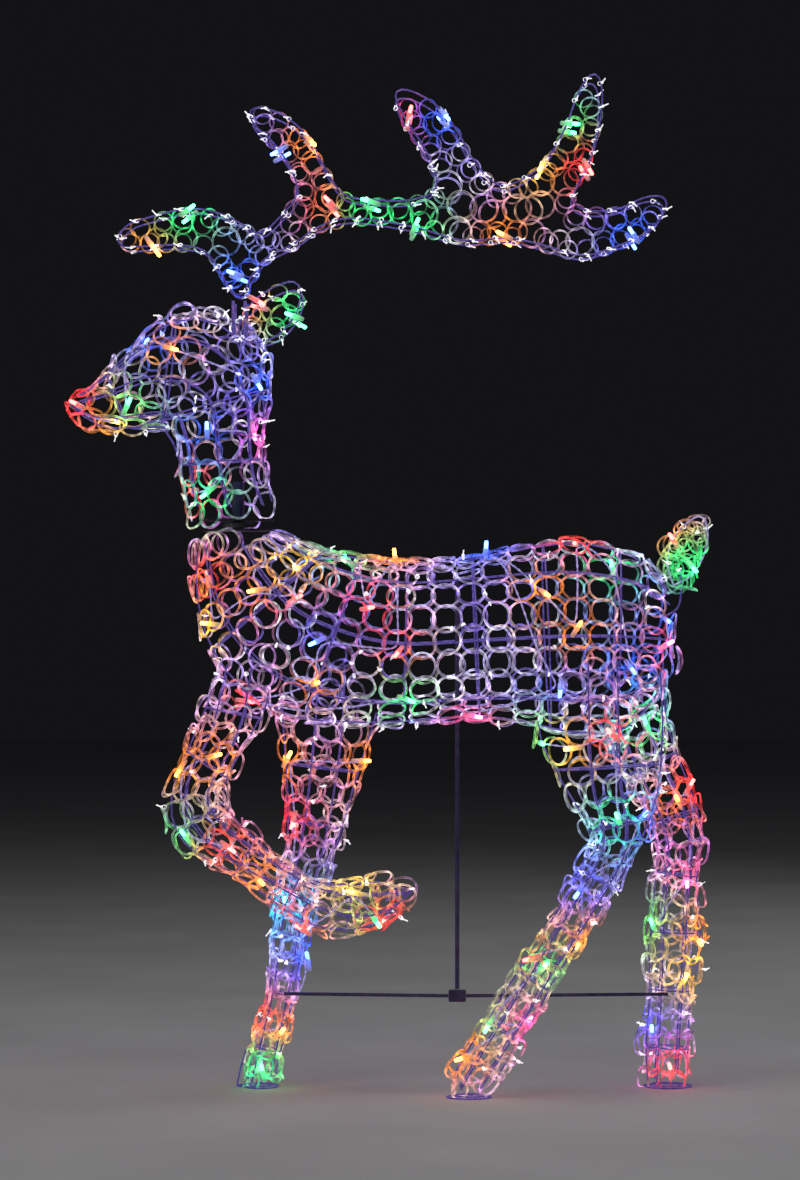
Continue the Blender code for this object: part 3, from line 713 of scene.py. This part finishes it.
def ties(name, sites, mat, chance, reach=RING_RADIUS):
    """Cable ties at ring sites: a band round the wire, a square head and a cut tail."""
    points, faces = [], []
    for site in sites:
        if RANDOM.random() > chance or site[0].z < LOWEST_TIE:
            continue
        place, normal, tangent = site[0], site[1].normalized(), site[2]
        along = (tangent - normal * tangent.dot(normal)).normalized()
        turn = RANDOM.uniform(0, math.pi * 2)
        cross = normal.cross(along)
        along = along * math.cos(turn) + cross * math.sin(turn)
        cross = normal.cross(along)
        centre = place + along * reach - normal * 0.002
        band(points, faces, centre, along, normal, cross)
        block(points, faces, centre + normal * 0.0034, along, cross, normal, (0.0017, 0.0015, 0.0012))
        lean = normal * 0.7 + cross * RANDOM.uniform(-0.9, 0.9) + along * RANDOM.uniform(-0.6, 0.6)
        lean.normalize()
        side = lean.orthogonal().normalized()
        length = RANDOM.uniform(0.0022, 0.0045)
        block(points, faces, centre + normal * 0.004 + lean * length, side, lean.cross(side), lean,
              (0.0008, 0.0004, length))
    return mesh_object(name, points, faces, mat, smooth=False)


def block(points, faces, centre, u, v, w, half):
    """A small box on three axes."""
    first = len(points)
    for a in (-1, 1):
        for b in (-1, 1):
            for c in (-1, 1):
                points.append(centre + u * (half[0] * a) + v * (half[1] * b) + w * (half[2] * c))
    for quad in ((0, 1, 3, 2), (4, 6, 7, 5), (0, 4, 5, 1), (2, 3, 7, 6), (0, 2, 6, 4), (1, 5, 7, 3)):
        faces.append(tuple(first + corner for corner in quad))


def band(points, faces, centre, u, v, w):
    """A small square-section hoop in the plane of u and v."""
    first = len(points)
    steps = 12
    for step in range(steps):
        angle = 2 * math.pi * step / steps
        spoke = u * math.cos(angle) + v * math.sin(angle)
        for reach, shift in ((0.0027, 0.0008), (0.0032, 0.0008), (0.0032, -0.0008), (0.0027, -0.0008)):
            points.append(centre + spoke * reach + w * shift)
    for step in range(steps):
        after = (step + 1) % steps
        for corner in range(4):
            turn = (corner + 1) % 4
            faces.append((
                first + step * 4 + corner, first + after * 4 + corner,
                first + after * 4 + turn, first + step * 4 + turn,
            ))


# ---- sections ------------------------------------------------------------------------------------
def place_lamps(skin, lamps, depth):
    """Where a section's lamps sit, their outward directions, their cable directions and tints."""
    places, outward, tints = [], [], []
    for x, z, side, letter in lamps:
        hit, normal = skin.from_side(x, z, side)
        places.append(hit - normal * depth)
        outward.append(normal)
        tints.append(COLORS[letter])
    along = []
    for index in range(len(places)):
        before = places[max(index - 1, 0)]
        after = places[min(index + 1, len(places) - 1)]
        along.append((after - before).normalized())
    for place, tint in zip(places, tints):
        LAMP_GLOW.append((tuple(place), tint))
    return places, outward, along, tints


def dress(name, body, middle_line, closed_end, mats):
    """Rings, wires, lamps, cable and ties of one lofted section."""
    skin = SKINS[name]
    places, outward, along, tints = STRINGS[name]
    jitter = 0.40 if name == "torso" else 0.9
    if name == "head":
        sites = packed_sites(skin, HEAD_PITCH)
    else:
        stagger, pitch = (0.0, RING_PITCH) if name == "torso" else (0.5, LEG_PITCH)
        sites = ring_sites(skin, middle_line, AROUND[name], closed_end, jitter, stagger, pitch)
    rings = ring_layer(name + "_rings", sites, mats["tube"], BODY_TILT if name == "torso" else LIMB_TILT)
    finish_piece(rings, body, "tube_rings", name + "_ring_skin")
    every = 6 if name == "torso" else 5
    hoops, lines = cage_paths(skin, middle_line, every, 8 if name in ("torso", "head") else 6)
    hoop_wires = curve_object(name + "_hoop_wires", hoops, WIRE_RADIUS, mats["wire"], closed=True)
    finish_piece(hoop_wires, body, "frame_wire", name + "_frame")
    long_wires = curve_object(name + "_long_wires", lines, WIRE_RADIUS, mats["wire"])
    finish_piece(long_wires, body, "frame_wire")
    lamps = lamp_row(name + "_lamps", places, (outward, along, tints), [mats["holder"], mats["bulb"]])
    finish_piece(lamps, body, "lamp_string", name + "_light_string")
    route = string_path(skin, places, LAMP_DEPTH)
    strands = [twisted(route, CABLE_RADIUS, phase) for phase in (0.0, math.pi)]
    cable = curve_object(name + "_cable", strands, CABLE_RADIUS, mats["cable"], resolution=1)
    finish_piece(cable, body, "lamp_string")
    if name == "torso":
        sites = [site for site in sites if (site[0] - NECK).length > NECK_CLEAR]
    fasteners = ties(name + "_ties", sites, mats["tie"], SECTION_TIE_CHANCE)
    finish_piece(fasteners, body, "frame_wire")


def finish_piece(obj, body, slot_name, *nodes):
    """Ride a piece on its body and hide the CAD nodes it stands for."""
    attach(obj, body)
    if nodes:
        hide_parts(*nodes)


def panel_outline(skin):
    """The corners of a flat panel's outline in order, in its middle plane, and its normal."""
    largest = max(skin.mesh.faces, key=lambda face: face.calc_area())
    normal = largest.normal.copy()
    front = {face for face in skin.mesh.faces if face.normal.dot(normal) > 0.95}
    follows = {}
    for edge in skin.mesh.edges:
        inside = [face for face in edge.link_faces if face in front]
        if len(inside) != 1:
            continue
        for loop in inside[0].loops:
            if loop.edge == edge:
                follows[loop.vert.index] = loop.link_loop_next.vert.index
    skin.mesh.verts.ensure_lookup_table()
    start = next(iter(follows))
    order = [start]
    while follows[order[-1]] != start and len(order) <= len(follows):
        order.append(follows[order[-1]])
    return [skin.mesh.verts[index].co - normal * SKIN_THICKNESS / 2 for index in order], normal


def inside_distance(point, outline, axes):
    """Distance from a point to the outline in the panel's plane, negative outside."""
    u_axis, v_axis = axes
    px, py = point.dot(u_axis), point.dot(v_axis)
    inside = False
    nearest = 1.0
    count = len(outline)
    for index in range(count):
        ax, ay = outline[index][0], outline[index][1]
        bx, by = outline[(index + 1) % count][0], outline[(index + 1) % count][1]
        if (ay > py) != (by > py) and px < (bx - ax) * (py - ay) / (by - ay) + ax:
            inside = not inside
        length = max((bx - ax) ** 2 + (by - ay) ** 2, 1e-12)
        along = max(0.0, min(1.0, ((px - ax) * (bx - ax) + (py - ay) * (by - ay)) / length))
        miss = math.hypot(px - ax - along * (bx - ax), py - ay - along * (by - ay))
        nearest = min(nearest, miss)
    return nearest if inside else -nearest


def panel_sites(outline, normal, least):
    """Sites of the rings in a flat panel, packed side by side from its tips inwards."""
    u_axis = Vector((1.0, 0.0, 0.0))
    u_axis = (u_axis - normal * u_axis.dot(normal)).normalized()
    v_axis = normal.cross(u_axis)
    flat = [(corner.dot(u_axis), corner.dot(v_axis)) for corner in outline]
    depth = sum(corner.dot(normal) for corner in outline) / len(outline)
    grid = 0.0045
    low_u, high_u = min(u for u, _v in flat), max(u for u, _v in flat)
    low_v, high_v = min(v for _u, v in flat), max(v for _u, v in flat)
    spots = []
    for i in range(int((high_u - low_u) / grid) + 1):
        for j in range(int((high_v - low_v) / grid) + 1):
            point = u_axis * (low_u + i * grid) + v_axis * (low_v + j * grid) + normal * depth
            room = inside_distance(point, flat, (u_axis, v_axis))
            if room > 0.009:
                spots.append((point, room))
    kept = []
    spots.sort(key=lambda spot: spot[0].x)
    waiting = spots
    while waiting:
        if kept:
            latest = kept[-1][0]
            waiting = [s for s in waiting if (s[0] - latest).length > least * min(1.0, s[1] / 0.014)]
            if not waiting:
                break
            scored = min(waiting, key=lambda s: (s[0] - latest).length - 0.35 * min(s[1], RING_RADIUS))
        else:
            scored = waiting[0]
        point, room = scored
        size = min(1.0, (room + 0.003) / RING_RADIUS)
        kept.append((point, normal, u_axis, max(0.5, size), FLAT_BEND))
    return kept


def dress_panel(stem, body, lamps, mats, side, with_string=True):
    """Rings, outline wire, lamps and ties of one flat section, such as an antler or an ear."""
    skin = Skin(stem + "_ring_panel")
    outline, normal = panel_outline(skin)
    facing = normal if normal.y * side > 0 else -normal
    sites = panel_sites(outline, facing, PANEL_PITCH)
    places = []
    for x, z, _side, _letter in lamps:
        hit, _normal, _face, _gap = skin.tree.find_nearest(Vector((x, (skin.low.y + skin.high.y) / 2, z)))
        places.append(hit + facing * 0.005)
    tints = [COLORS[lamp[3]] for lamp in lamps]
    for place, tint in zip(places, tints):
        LAMP_GLOW.append((tuple(place), tint))
    rings = ring_layer(stem + "_rings", sites, mats["tube"], PANEL_TILT)
    finish_piece(rings, body, "tube_rings", stem + "_ring_panel")
    closed = outline + [outline[0], outline[1]]
    loop = smooth_path(closed, 0.008)[:-1]
    lap = max(1, round((outline[1] - outline[0]).length / 0.008))
    loop = loop[:-lap] if lap < len(loop) else loop
    middle = sum(outline, Vector()) / len(outline)
    route = [relaxed(loop, True, 1)]
    wire = curve_object(stem + "_outline_wire", route, WIRE_RADIUS, mats["wire"], closed=True)
    finish_piece(wire, body, "frame_wire", stem + "_frame")
    along = []
    for index in range(len(places)):
        before = places[max(index - 1, 0)]
        after = places[min(index + 1, len(places) - 1)]
        along.append((after - before).normalized())
    outward = [facing] * len(places)
    row = lamp_row(stem + "_lamps", places, (outward, along, tints), [mats["holder"], mats["bulb"]])
    if with_string:
        finish_piece(row, body, "lamp_string", stem + "_light_string")
    else:
        finish_piece(row, body, "lamp_string")
    edge_sites = []
    for index in range(0, len(loop), 4):
        away = (loop[index] - middle).normalized()
        edge_sites.append((loop[index], (facing * 0.4 + away).normalized(), away.cross(facing)))
    fasteners = ties(stem + "_ties", edge_sites, mats["tie"], PANEL_TIE_CHANCE, 0.0)
    finish_piece(fasteners, body, "frame_wire")


# ---- studio --------------------------------------------------------------------------------------
def studio():
    """Pale floor, soft overhead light and a dim backdrop."""
    bpy.ops.mesh.primitive_circle_add(vertices=96, radius=14.0, fill_type="NGON", location=(0, 0, 0))
    floor = bpy.context.object
    floor.name = "studio_floor"
    floor.data.materials.append(floor_material())
    world = bpy.data.worlds.new("studio")
    bpy.context.scene.world = world
    world.use_nodes = True
    world.node_tree.nodes["Background"].inputs["Color"].default_value = (0.22, 0.22, 0.27, 1.0)
    world.node_tree.nodes["Background"].inputs["Strength"].default_value = 0.03
    for name, place, energy, size in (
        ("overhead", (0.0, -0.6, 3.4), 30.0, 2.6),
        ("front", (-2.6, -3.2, 2.2), 14.0, 1.8),
        ("back", (2.4, 2.8, 2.4), 12.0, 1.8),
    ):
        light = bpy.data.lights.new(name, "AREA")
        light.energy = energy
        light.size = size
        lamp = bpy.data.objects.new(name, light)
        lamp.location = place
        aim = Vector((0.0, 0.0, 0.6)) - Vector(place)
        lamp.rotation_euler = aim.to_track_quat("-Z", "Y").to_euler()
        bpy.context.scene.collection.objects.link(lamp)


def camera():
    """A long lens level with the middle of the deer, square to its side."""
    data = bpy.data.cameras.new("camera")
    data.lens = 133.6
    data.sensor_width = 36.0
    data.clip_end = 60.0
    obj = bpy.data.objects.new("camera", data)
    obj.location = (0.0116, -6.0, 0.688)
    obj.rotation_euler = (math.radians(90), 0.0, 0.0)
    bpy.context.scene.collection.objects.link(obj)
    bpy.context.scene.camera = obj
    bpy.context.scene.view_settings.view_transform = "Standard"


# ---- the scene -----------------------------------------------------------------------------------
def paint(nodes, mat):
    """Give carried-over CAD nodes a better material."""
    for name in nodes:
        node = frame["nodes"][name]
        node.data.materials.clear()
        node.data.materials.append(mat)


def foot_hoops(mats):
    """The round wire loops that the standing legs end in."""
    for stem in ("front_left", "rear_right", "rear_left"):
        node = stem + "_foot_hoop"
        low, high = (Vector(corner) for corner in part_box(node))
        centre = (low + high) / 2
        loops = []
        for inset in (WIRE_RADIUS, 0.009):
            reach_x = (high.x - low.x) / 2 - inset
            reach_y = (high.y - low.y) / 2 - inset
            loops.append([
                Vector((centre.x + reach_x * math.cos(a), centre.y + reach_y * math.sin(a),
                        WIRE_RADIUS if inset == WIRE_RADIUS else WIRE_RADIUS * 2.5))
                for a in (2 * math.pi * step / 40 for step in range(40))
            ])
        hoop = curve_object(stem + "_foot_wire", loops, WIRE_RADIUS, mats["wire"], closed=True)
        finish_piece(hoop, "torso", "frame_wire", node)


def tail_wires(skin, mats):
    """The outline wire of the tail and the short wire that clips it to the rump."""
    outline = [skin.at(*place) for place in (
        (0.15, 0.08), (0.00, 0.36), (0.14, 0.72), (0.72, 1.00), (0.98, 0.92), (0.99, 0.60), (0.66, 0.24),
    )]
    loop = smooth_path(outline + [outline[0]], 0.006)[:-1]
    edge = curve_object("tail_outline_wire", [loop], WIRE_RADIUS, mats["cable"], closed=True)
    finish_piece(edge, "torso", "frame_wire")
    low, high = (Vector(corner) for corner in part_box("tail_clip"))
    middle = (low.y + high.y) / 2
    route = [
        Vector((low.x - 0.012, middle, low.z - 0.010)), Vector((low.x + 0.002, middle, low.z)),
        Vector((high.x - 0.002, middle, high.z)), skin.at(0.35, 0.30),
    ]
    clip = curve_object("tail_clip_wire", [smooth_path(route, 0.005)], WIRE_RADIUS, mats["wire"])
    finish_piece(clip, "torso", "frame_wire", "tail_clip")


def hoof_wires(mats):
    """The bent wires at the raised hoof's tip and at the toe of the left front leg."""
    raised_low, raised_high = (Vector(corner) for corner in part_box("front_right_leg_ring_skin"))
    side_y = (raised_low.y + raised_high.y) / 2
    reach = 0.013
    tip = Vector((raised_high.x + 0.010, side_y, raised_low.z + 0.062))
    root = Vector((raised_high.x - 0.028, side_y, raised_low.z + 0.048))
    rows = []
    for lift in (-1, 0, 1):
        row = []
        for step in range(13):
            across = math.cos(math.pi * step / 12)
            along = math.sin(math.pi * step / 12)
            base = root + Vector((0.0, reach * across, lift * 0.020))
            row.append(base.lerp(tip, along * 0.96))
        rows.append(row)
    raised = curve_object("front_right_hoof_wires", rows, WIRE_RADIUS, mats["wire"])
    finish_piece(raised, "torso", "frame_wire")
    low, high = (Vector(corner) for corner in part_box("front_left_foot_hoop"))
    middle = (low.y + high.y) / 2
    toe = Vector((low.x - 0.008, middle, WIRE_RADIUS * 1.5))
    shins = []
    for offset in (-0.014, 0.014):
        top = Vector((low.x + 0.004, middle + offset, 0.050))
        shins.append([top, top.lerp(toe, 0.5) + Vector((-0.001, 0.0, 0.0)), toe])
    bow = [
        Vector((low.x + 0.020, middle + 0.028 * side, WIRE_RADIUS * 1.5)) for side in (-1.0, 1.0)
    ]
    shins.append(smooth_path([bow[0], toe, bow[1]], 0.006))
    toes = curve_object("front_left_toe_wires", shins, WIRE_RADIUS, mats["wire"])
    finish_piece(toes, "torso", "frame_wire")


MATS = {
    "tube": clear_tube(),
    "bulb": lamp_bulb(),
    "holder": lamp_holder(),
    # frame wire: metal, with a violet tint and a glow that are painted lamplight
    "wire": surface(
        "wire_painted_violet_glow", (0.09, 0.06, 0.34), (0.20, 0.15, 0.56), 0.28, 0.4, 140.0, 0.2, glow=0.30),
    # clear cable: its lavender colour and its glow are painted lamplight
    "cable": surface(
        "clear_cable", (0.26, 0.22, 0.60), (0.55, 0.52, 0.90), 0.25, 0.0, 200.0, 0.1, glow=0.45),
    # white cable ties, with a painted glow standing in for light they pick up
    "tie": surface("cable_tie", (0.82, 0.82, 0.84), (0.96, 0.96, 0.98), 0.40, 0.0, 300.0, 0.2, glow=0.9),
    "plate": surface(
        "dark_plate", (0.010, 0.010, 0.014), (0.030, 0.030, 0.040), 0.38, scale=180.0, bump=0.25),
    "steel": surface(
        "stand_steel", (0.045, 0.040, 0.120), (0.09, 0.08, 0.20), 0.42, 0.3, scale=90.0, bump=0.3),
    "washer": surface("washer", (0.55, 0.55, 0.58), (0.75, 0.75, 0.78), 0.5, scale=150.0, bump=0.2),
}

camera()
studio()

SKINS = {name: Skin(name + "_ring_skin") for name in SECTIONS}
STRINGS = {name: place_lamps(SKINS[name], LAMPS[name], LAMP_DEPTH) for name in SECTIONS}
for section, (body_name, line, closed) in SECTIONS.items():
    dress(section, body_name, line, closed, MATS)

for word, side_sign in (("left", 1), ("right", -1)):
    dress_panel("antler_" + word, "antler_" + word, LAMPS["antler"], MATS, side_sign)
    dress_panel("ear_" + word, "head", LAMPS["ear"], MATS, side_sign, with_string=False)

tail = Skin("tail_ring_skin")
tail_places = place_lamps(tail, LAMPS["tail"], 0.004)
tail_sites = [(*site[:3], TAIL_RING_SCALE, END_BEND) for site in packed_sites(tail, 0.0165, True)]
for share, flank in itertools.product((0.12, 0.36, 0.60), (-1, 1)):
    root = Vector((tail.low.x + 0.001, flank * 0.010, tail.low.z + share * (tail.high.z - tail.low.z)))
    facing, upward = Vector((0.0, flank, 0.0)), Vector((0.0, 0.0, 1.0))
    tail_sites.append((root, facing, upward, TAIL_RING_SCALE, FLAT_BEND))
tail_rings = ring_layer("tail_rings", tail_sites, MATS["tube"], TAIL_TILT)
finish_piece(tail_rings, "torso", "tube_rings", "tail_ring_skin")
tail_ties = ties("tail_ties", tail_sites, MATS["tie"], TAIL_TIE_CHANCE, 0.0)
finish_piece(tail_ties, "torso", "frame_wire")
tail_lamps = lamp_row("tail_lamps", tail_places[0], tail_places[1:], [MATS["holder"], MATS["bulb"]])
finish_piece(tail_lamps, "torso", "lamp_string")

tail_wires(tail, MATS)
foot_hoops(MATS)
hoof_wires(MATS)
paint(("torso_neck_plate", "head_neck_plate"), MATS["plate"])
paint(("stand_post", "stand_rail_front", "stand_rail_rear", "stand_joint"), MATS["steel"])
paint(("neck_washer",), MATS["washer"])
paint(("neck_pivot_pin",), MATS["steel"])
paint(("antler_left_rod_1", "antler_left_rod_2", "antler_right_rod_1",
       "antler_right_rod_2"), MATS["wire"])
